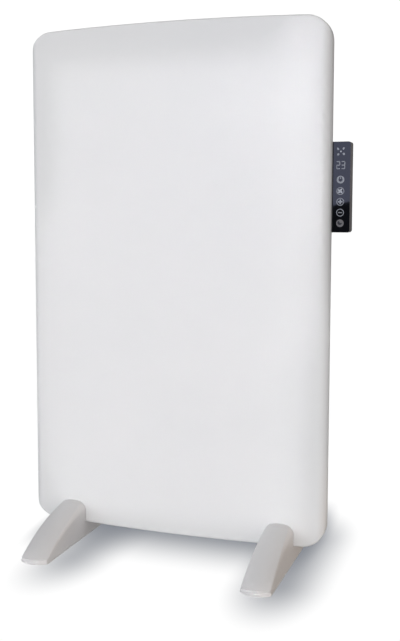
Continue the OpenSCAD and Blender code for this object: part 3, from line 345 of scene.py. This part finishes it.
def outlineRing(inset):
    # the panel's outline drawn in by inset, as points (x, z) from the middle
    s = sheet
    halfW, halfH = s["width"] / 2, s["height"] / 2
    bowR = (halfW ** 2 + s["bow"] ** 2) / (2 * s["bow"])
    corner = max(s["cornerR"] - inset, s["leastCornerR"])
    archZ = halfH - bowR
    cx = halfW - inset - corner
    cz = archZ + math.sqrt((bowR - inset - corner) ** 2 - cx ** 2)
    turn = math.atan2(cz - archZ, cx)
    quarter = [(halfW - inset, cz * i / s["sidePoints"]) for i in range(s["sidePoints"])]
    for i in range(s["cornerPoints"]):
        a = turn * i / s["cornerPoints"]
        quarter.append((cx + corner * math.cos(a), cz + corner * math.sin(a)))
    for i in range(s["archPoints"]):
        a = turn + (math.pi / 2 - turn) * i / s["archPoints"]
        quarter.append(((bowR - inset) * math.cos(a), archZ + (bowR - inset) * math.sin(a)))
    mirrored = [(-x, z) for x, z in reversed(quarter)]
    top = quarter + [(0, halfH - inset)] + mirrored[:-1]
    return top + [(-halfW + inset, 0)] + [(-x, -z) for x, z in top[1:]]


def sheetDepth(x, inset, skin):
    # how far the sheet lies behind its front plane at a distance from the outline
    s = sheet
    edge = s["width"] / 2 - s["roll"]
    r = s["roll"] - skin
    over = min(max(abs(x) - edge, 0), r)
    roll = r - math.sqrt(r * r - over * over)
    b = s["bend"] - skin
    near = min(max(s["bend"] - inset, 0), b)
    bend = b - math.sqrt(b * b - near * near)
    t = min(inset / s["reach"], 1)
    k = s["merge"]
    return skin + (roll ** k + bend ** k) ** (1 / k) + s["fall"] * (1 - t) ** 2


def frontSheet():
    s = sheet
    verts, faces, starts = [], [], []

    def addRing(inset, depthAt, skin):
        starts.append(len(verts))
        for x, z in outlineRing(inset):
            if depthAt is None:
                y = s["backY"]
            else:
                y = min(s["frontY"] + sheetDepth(x, depthAt, skin), s["backY"] - s["lip"])
            verts.append((x + s["middleX"], y, z + s["middleZ"]))

    # out over the inner skin, round the rear edge, and in again over the face
    for inset in reversed(s["insets"]):
        if inset > s["thick"] + s["innerGap"]:
            addRing(inset, inset, s["thick"])
    addRing(s["thick"], s["thick"] + s["hair"], s["thick"])
    addRing(s["thick"], None, 0)
    addRing(0.0, None, 0)
    for inset in s["insets"]:
        addRing(inset, inset, 0)

    n = len(verts) // len(starts)
    for a, b in zip(starts, starts[1:]):
        for i in range(n):
            j = (i + 1) % n
            faces.append((a + i, b + i, b + j, a + j))
    first, last = starts[0], starts[-1]
    faces.append(tuple(range(first, first + n)))
    faces.append(tuple(reversed(range(last, last + n))))
    piece = meshPiece("frontSheet", verts, faces, made["powderCoatSteel"])
    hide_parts("front_shell")


frontSheet()
print("stage: front sheet")


# the symbols on the touch glass, in mm and degrees; each "up" is a height above the box's
# lower end
glassLow, glassHigh = (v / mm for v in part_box("touch_glass"))
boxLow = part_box("control_rear")[0] / mm
symbols = {
    "x": (glassLow.x + glassHigh.x) / 2 - 0.3,  # a little left of the glass's middle
    "lowZ": boxLow.z,
    "glassY": glassLow.y,  # the glass's front
    "proud": 0.06,  # the ink stands this far off it, as the black below can't be seen through
    "darkProud": 0.03,  # and the dark crescent this much further
    "seat": 0.02,  # how far both reach into it
    "roundSteps": 40,  # sides of a full round
    "ringR": 6.3,
    "ringW": 1.4,
    "thinW": 1.05,  # the rings of fan, plus and minus
    # four commas round a dot, over the five lamps
    "mark": {"up": 133.0, "angles": (45, 135, 225, 315), "out": 3.3, "near": 0.9, "far": 5.7,
             "wide": 4.3, "dotR": 1.4},
    # seven segments: each digit's place across and the segments that are lit
    "digits": {"up": 110.7, "lit": ((-4.1, "abged"), (4.2, "abgcd")), "w": 6.2, "h": 12.9,
               "stroke": 1.35, "endGap": 0.7, "middleGap": 0.9, "sideGap": 1.0},
    # a ring, an open ring and a bar
    "power": {"up": 86.9, "innerR": 4.9, "innerW": 1.5, "open": (125, 415), "barUp": 3.2,
              "bar": 4.4, "barW": 1.3},
    "fan": {"up": 68.2, "angles": (55, 143, 214, 308), "far": 5.2, "wide": 3.6},
    "plus": {"up": 50.6, "bar": 7.8, "barW": 1.7},
    "minus": {"up": 32.8, "bar": 6.8, "barW": 1.25},
    # a full disc with a dark crescent, between an outer and an inner arc
    "night": {"up": 15.3, "steps": 20, "shift": (-0.3, 1.0), "outerR": 3.9,
              "outer": (150, 330), "innerR": 3.0, "innerAt": (2.0, 2.3), "inner": (170, 325)},
}
# a blade's or comma's curve: points along it, a power that sets where it is fullest, and how
# its width is shared between its two sides
blade = {"points": 14, "full": 0.8, "upper": 0.5, "lower": 0.3}


def turned(x, z, angle, points):
    c, s = math.cos(math.radians(angle)), math.sin(math.radians(angle))
    return [[(x + c * u - s * v, z + s * u + c * v) for u, v in points]]


def arcPoints(x, z, r, a0, a1, n):
    angles = [math.radians(a0 + (a1 - a0) * i / n) for i in range(n + 1)]
    return [(x + r * math.cos(t), z + r * math.sin(t)) for t in angles]


def bandCells(outer, inner):
    # the quads between two rows of points
    return [[inner[i], outer[i], outer[i + 1], inner[i + 1]] for i in range(len(outer) - 1)]


def arcStroke(x, z, r, w, a0=0, a1=360):
    n = int(symbols["roundSteps"] * (a1 - a0) / 360)
    return bandCells(arcPoints(x, z, r, a0, a1, n), arcPoints(x, z, r - w, a0, a1, n))


def barStroke(x, z, length, w, angle=0):
    h = length / 2
    return turned(x, z, angle, [(-h, -w / 4), (-h + w / 4, -w / 2), (h - w / 4, -w / 2),
                                (h, -w / 4), (h, w / 4), (h - w / 4, w / 2),
                                (-h + w / 4, w / 2), (-h, w / 4)])


def bladeStroke(x, z, near, far, wide, angle):
    steps = [i / blade["points"] for i in range(blade["points"] + 1)]
    along = [(near + (far - near) * t, wide * math.sin(math.pi * t ** blade["full"]))
             for t in steps]
    return turned(x, z, angle, [(u, v * blade["upper"]) for u, v in along]
                  + [(u, -v * blade["lower"]) for u, v in along[-2:0:-1]])


def strokePiece(name, cells, material, proud):
    verts, faces = [], []
    y0, y1 = symbols["glassY"] - proud, symbols["glassY"] + symbols["seat"]
    for cell in cells:
        a, n = len(verts), len(cell)
        verts += [(u, y0, v) for u, v in cell] + [(u, y1, v) for u, v in cell]
        faces.append(tuple(range(a, a + n)))
        faces.append(tuple(reversed(range(a + n, a + 2 * n))))
        for i in range(n):
            j = (i + 1) % n
            faces.append((a + j, a + i, a + n + i, a + n + j))
    meshPiece(name, verts, faces, material, smooth=False)


def drawSymbols():
    k = symbols
    x, lowZ, r, w, thin = k["x"], k["lowZ"], k["ringR"], k["ringW"], k["thinW"]
    pale, rings, soft = [], [], []

    m = k["mark"]
    z = lowZ + m["up"]
    for angle in m["angles"]:
        a = math.radians(angle)
        rings += bladeStroke(x + m["out"] * math.cos(a), z + m["out"] * math.sin(a),
                             m["near"], m["far"], m["wide"], angle)
    pale += arcStroke(x, z, m["dotR"], m["dotR"])

    m = k["digits"]
    z = lowZ + m["up"]
    across, tall = m["w"] - m["endGap"], m["h"] / 2 - m["sideGap"]
    side, rise = (m["w"] - m["stroke"]) / 2, (m["h"] - m["stroke"]) / 2
    places = {"a": (0, rise, across, 0), "d": (0, -rise, across, 0),
              "g": (0, 0, m["w"] - m["middleGap"], 0),
              "b": (side, m["h"] / 4, tall, 90), "c": (side, -m["h"] / 4, tall, 90),
              "e": (-side, -m["h"] / 4, tall, 90)}
    for shift, lit in m["lit"]:
        for key in lit:
            px, pz, length, angle = places[key]
            rings += barStroke(x + shift + px, z + pz, length, m["stroke"], angle)

    m = k["power"]
    z = lowZ + m["up"]
    rings += arcStroke(x, z, r, w)
    rings += arcStroke(x, z, m["innerR"], m["innerW"], *m["open"])
    rings += barStroke(x, z + m["barUp"], m["bar"], m["barW"], 90)

    m = k["fan"]
    z = lowZ + m["up"]
    rings += arcStroke(x, z, r, thin)
    for angle in m["angles"]:
        pale += bladeStroke(x, z, 0.0, m["far"], m["wide"], angle)

    m = k["plus"]
    z = lowZ + m["up"]
    rings += arcStroke(x, z, r, thin)
    pale += barStroke(x, z, m["bar"], m["barW"]) + barStroke(x, z, m["bar"], m["barW"], 90)

    m = k["minus"]
    z = lowZ + m["up"]
    rings += arcStroke(x, z, r, thin)
    rings += barStroke(x, z, m["bar"], m["barW"])

    m = k["night"]
    soft += arcStroke(x, lowZ + m["up"], r, r)
    cx, cz = x + m["shift"][0], lowZ + m["up"] + m["shift"][1]
    outer = arcPoints(cx, cz, m["outerR"], *m["outer"], m["steps"])
    inner = arcPoints(cx + m["innerAt"][0], cz + m["innerAt"][1], m["innerR"], *m["inner"],
                      m["steps"])

    lens, proud = "lamp_lens", k["proud"]
    strokePiece("paleSymbols", pale, made["paleScreenInk"], proud)
    strokePiece("ringSymbols", rings, made["ringScreenInk"], proud)
    strokePiece("softSymbols", soft, made["softScreenInk"], proud)
    strokePiece("nightCrescent", bandCells(outer, inner), made["darkScreenInk"],
                proud + k["darkProud"])


drawSymbols()
print("stage: symbols")


# what the black glass shows to the camera, in metres: two cards that only shiny surfaces see,
# blue-grey above a slanting edge and near black below it
cards = {
    "left": -0.25,
    "right": 0.2,
    "y": -1.2,
    "top": 1.3,
    "edgeLeft": 0.5376,
    "edgeRight": 0.6501,
    "bottom": 0.05,
    "high": (1.3, 1.4, 2.0, 1.0),  # linear, brighter than paper
    "low": (0.03, 0.03, 0.03, 1.0),
}


def stageCard(name, leftLow, rightLow, rightHigh, leftHigh, colour):
    c = cards
    mesh = bpy.data.meshes.new(name)
    mesh.from_pydata([(c["left"], c["y"], leftLow), (c["right"], c["y"], rightLow),
                      (c["right"], c["y"], rightHigh), (c["left"], c["y"], leftHigh)], [],
                     [(0, 1, 2, 3)])
    mat, tree = newMaterial(name + "Paper")
    glow = addNode(tree, "ShaderNodeEmission", {"Color": colour, "Strength": 1.0})
    addNode(tree, "ShaderNodeOutputMaterial", {}, {"Surface": glow.outputs[0]})
    mesh.materials.append(mat)
    card = addObject(name, mesh)
    card.visible_camera = False
    card.visible_diffuse = False
    card.visible_shadow = False
    card.visible_transmission = False


# the floor, in metres: the camera sees it exposed to white with soft painted shade on it,
# drawn into its colour round the panel and the feet rather than cast by the lamps, while the
# heater is lit by it as by plain card. Each painted shade is full over half a size from its
# middle, fades over the next stretch, and leaves the given share of the floor's light
studioFloor = {
    "reach": 30,
    "card": "#CFCFD1",
    "shade": "#82868E",
    "white": (1.02, 1.02, 1.02, 1.0),
    "shades": {
        "panel": {"middle": (-0.036, 0.131, 0), "half": (0.230, 0.032, 1.0),
                  "fade": (0.051, 0.224, 1.0), "left": 0.024},
        "leftFoot": {"middle": (-0.161, 0.0, 0), "half": (0.0, 0.104, 1.0),
                     "fade": (0.098, 0.210, 1.0), "left": 0.296},
        "rightFoot": {"middle": (0.206, 0.0, 0), "half": (0.0, 0.104, 1.0),
                      "fade": (0.098, 0.210, 1.0), "left": 0.174},
    },
}


def stageFloor():
    reach = studioFloor["reach"]
    mesh = bpy.data.meshes.new("studioFloor")
    mesh.from_pydata([(-reach, -reach, 0), (reach, -reach, 0), (reach, reach, 0),
                      (-reach, reach, 0)], [], [(0, 1, 2, 3)])
    floor = addObject("studioFloor", mesh)
    mat, tree = newMaterial("paleStudioFloor")
    card = addNode(tree, "ShaderNodeBsdfDiffuse", {"Color": hexLinear(studioFloor["card"])})
    where = addNode(tree, "ShaderNodeTexCoord").outputs["Object"]
    paintedShade = None
    # painted shade: the floor's colour is darkened by its distance from each box, not by light
    # that the heater blocks
    for shade in studioFloor["shades"].values():
        way = where
        for job, value in (("SUBTRACT", shade["middle"]), ("ABSOLUTE", None),
                           ("SUBTRACT", shade["half"]), ("MAXIMUM", (0, 0, 0)),
                           ("DIVIDE", shade["fade"])):
            settings = {"operation": job}
            if value is not None:
                settings[1] = value
            way = addNode(tree, "ShaderNodeVectorMath", settings, {0: way}).outputs[0]
        far = addNode(tree, "ShaderNodeVectorMath", {"operation": "LENGTH"}, {0: way})
        fade = addNode(tree, "ShaderNodeMapRange", {"interpolation_type": "SMOOTHSTEP",
                                                    "To Min": shade["left"], "To Max": 1.0},
                       {"Value": far.outputs["Value"]}).outputs[0]
        paintedShade = fade if paintedShade is None else addNode(
            tree, "ShaderNodeMath", {"operation": "MULTIPLY"}, {0: paintedShade, 1: fade}).outputs[0]
    tone = addNode(tree, "ShaderNodeMix", {"data_type": "RGBA",
                                           6: hexLinear(studioFloor["shade"]),
                                           7: studioFloor["white"]}, {0: paintedShade})
    bright = addNode(tree, "ShaderNodeEmission", {"Strength": 1.0}, {"Color": tone.outputs[2]})
    path = addNode(tree, "ShaderNodeLightPath")
    mixed = addNode(tree, "ShaderNodeMixShader", {}, {0: path.outputs["Is Camera Ray"],
                                                      1: card.outputs[0], 2: bright.outputs[0]})
    addNode(tree, "ShaderNodeOutputMaterial", {}, {"Surface": mixed.outputs[0]})
    mesh.materials.append(mat)


# area lights, in metres, watts and degrees of spread; one without a "to" shines straight back
panelX = -0.0149  # the panel's middle
lights = {
    "frontSoft": {"at": (0.2, -3.4, 1.3), "to": (0, 0, 0.5), "size": (2.2, 2.2), "power": 4.4},
    # a narrow wash that brightens the middle of the face and fades before its edges
    "faceWash": {"at": (panelX, -0.9, 0.4525), "size": (0.451, 0.815), "power": 0.166,
                 "spread": 6},
    # smaller ones: the face's upper right, its right margin above the middle and over its
    # whole height, its left margin and its lower half
    "highWash": {"at": (0.148, -0.9, 0.70), "size": (0.187, 0.28), "power": 0.0165, "spread": 3},
    "rightWash": {"at": (0.216, -0.9, 0.64), "size": (0.052, 0.56), "power": 0.010, "spread": 2},
    "sideWash": {"at": (0.196, -0.9, 0.475), "size": (0.092, 0.85), "power": 0.0125,
                 "spread": 3},
    "leftWash": {"at": (-0.25, -0.9, 0.36), "size": (0.08, 0.5), "power": 0.014, "spread": 6},
    "lowWash": {"at": (0.0, -0.9, 0.235), "size": (0.4, 0.33), "power": 0.014, "spread": 6},
    # a strip low in front, and a warm one low at the right for the feet's sides
    "lowFront": {"at": (-0.3, -1.3, 0.25), "to": (-0.1, 0, 0.25), "size": (2.0, 0.3),
                 "power": 2.2},
    "lowRight": {"at": (1.3, -0.1, 0.10), "to": (0.2, -0.1, 0.035), "size": (1.2, 0.1),
                 "power": 0.085, "spread": 20, "colour": (1.0, 0.70, 0.42)},
    # a wash from the right for the lower half of the rolled edge
    "rollWash": {"at": (1.5, -0.12, 0.28), "to": (0.25, 0, 0.28), "size": (0.12, 0.4),
                 "power": 0.023, "spread": 8},
    # a wash for the back, which keeps within the panel's outline
    "backWash": {"at": (panelX, 1.4, 0.50), "to": (panelX, 0, 0.47), "size": (0.50, 0.86),
                 "power": 0.62, "spread": 14},
    # a beam along the floor for the feet's tips
    "tipWash": {"at": (panelX, -0.9, 0.003), "size": (0.5, 0.014), "power": 0.010, "spread": 2},
}


def stageLights():
    for name, spec in lights.items():
        data = bpy.data.lights.new(name, "AREA")
        data.shape = "RECTANGLE"
        data.size, data.size_y = spec["size"]
        data.energy = spec["power"]
        data.spread = math.radians(spec.get("spread", 180))
        data.color = spec.get("colour", (1.0, 1.0, 1.0))
        lamp = addObject(name, data)
        at = Vector(spec["at"])
        lamp.location = at
        aim = Vector(spec.get("to", (at.x, 0, at.z))) - at
        lamp.rotation_euler = aim.to_track_quat("-Z", "Y").to_euler()
        lamp.visible_glossy = False


# the room's own light: bright low in front, dim overhead, and a little warmer from the right.
# Its directions run from -1 to 1
room = {
    "front": 2.45,  # strength straight ahead of the heater
    "frontTop": 0.8,  # the height at which that has faded out
    "side": 0.415,  # strength all round at floor height
    "top": 0.08,
    "cool": (0.955, 0.972, 1.01, 1.0),  # linear
    "warm": (0.88, 0.83, 0.79, 1.0),
    "castFrom": -0.2,  # all cool to the left of this
    "castTo": 0.8,
    "seen": 1.05,  # the white that the camera sees
}


def stageRoom():
    world = bpy.data.worlds.new("softRoom")
    bpy.context.scene.world = world
    world.use_nodes = True
    tree = world.node_tree
    tree.nodes.clear()
    way = addNode(tree, "ShaderNodeTexCoord").outputs["Generated"]
    part = addNode(tree, "ShaderNodeSeparateXYZ", {}, {0: way})
    front = addNode(tree, "ShaderNodeMapRange", {"From Min": 0.0, "From Max": -1.0,
                                                 "To Min": 0.0, "To Max": room["front"]},
                    {"Value": part.outputs[1]})
    low = addNode(tree, "ShaderNodeMapRange", {"From Min": 0.0, "From Max": room["frontTop"],
                                               "To Min": 1.0, "To Max": 0.0},
                  {"Value": part.outputs[2]})
    ahead = addNode(tree, "ShaderNodeMath", {"operation": "MULTIPLY"},
                    {0: front.outputs[0], 1: low.outputs[0]})
    base = addNode(tree, "ShaderNodeMapRange", {"From Min": 0.0, "From Max": 1.0,
                                                "To Min": room["side"], "To Max": room["top"]},
                   {"Value": part.outputs[2]})
    both = addNode(tree, "ShaderNodeMath", {"operation": "ADD"},
                   {0: ahead.outputs[0], 1: base.outputs[0]})
    hue = addNode(tree, "ShaderNodeMapRange",
                  {"From Min": room["castFrom"], "From Max": room["castTo"]},
                  {"Value": part.outputs[0]})
    cast = addNode(tree, "ShaderNodeMix", {"data_type": "RGBA", 6: room["cool"],
                                           7: room["warm"]}, {0: hue.outputs[0]})
    lit = addNode(tree, "ShaderNodeBackground", {}, {"Color": cast.outputs[2],
                                                     "Strength": both.outputs[0]})
    seen = addNode(tree, "ShaderNodeBackground", {"Color": (1.0, 1.0, 1.0, 1.0),
                                                  "Strength": room["seen"]})
    path = addNode(tree, "ShaderNodeLightPath")
    mixed = addNode(tree, "ShaderNodeMixShader", {}, {0: path.outputs["Is Camera Ray"],
                                                      1: lit.outputs[0], 2: seen.outputs[0]})
    addNode(tree, "ShaderNodeOutputWorld", {}, {"Surface": mixed.outputs[0]})
    bpy.context.scene.view_settings.view_transform = "Standard"


# the camera, fitted to the panel's edges in the photo
photoView = {
    "at": (0.5631, -1.5716, 0.6110),  # metres
    "pitch": 84.822,
    "yaw": 20.08,
    "lens": 53.76,  # mm, on the sensor below
    "sensor": 36,
    "shift": (0.0373, -0.0455),
    "clip": (0.05, 100),
}


def stageCamera():
    data = bpy.data.cameras.new("photoCamera")
    data.sensor_width = photoView["sensor"]
    data.lens = photoView["lens"]
    data.shift_x, data.shift_y = photoView["shift"]
    data.clip_start, data.clip_end = photoView["clip"]
    camera = addObject("photoCamera", data)
    camera.location = photoView["at"]
    camera.rotation_euler = (math.radians(photoView["pitch"]), 0,
                             math.radians(photoView["yaw"]))
    bpy.context.scene.camera = camera


stageCard("cardHigh", cards["edgeLeft"], cards["edgeRight"], cards["top"], cards["top"],
          cards["high"])
stageCard("cardLow", cards["bottom"], cards["bottom"], cards["edgeRight"], cards["edgeLeft"],
          cards["low"])
stageFloor()
stageLights()
stageRoom()
stageCamera()
print("stage: floor, light and camera")
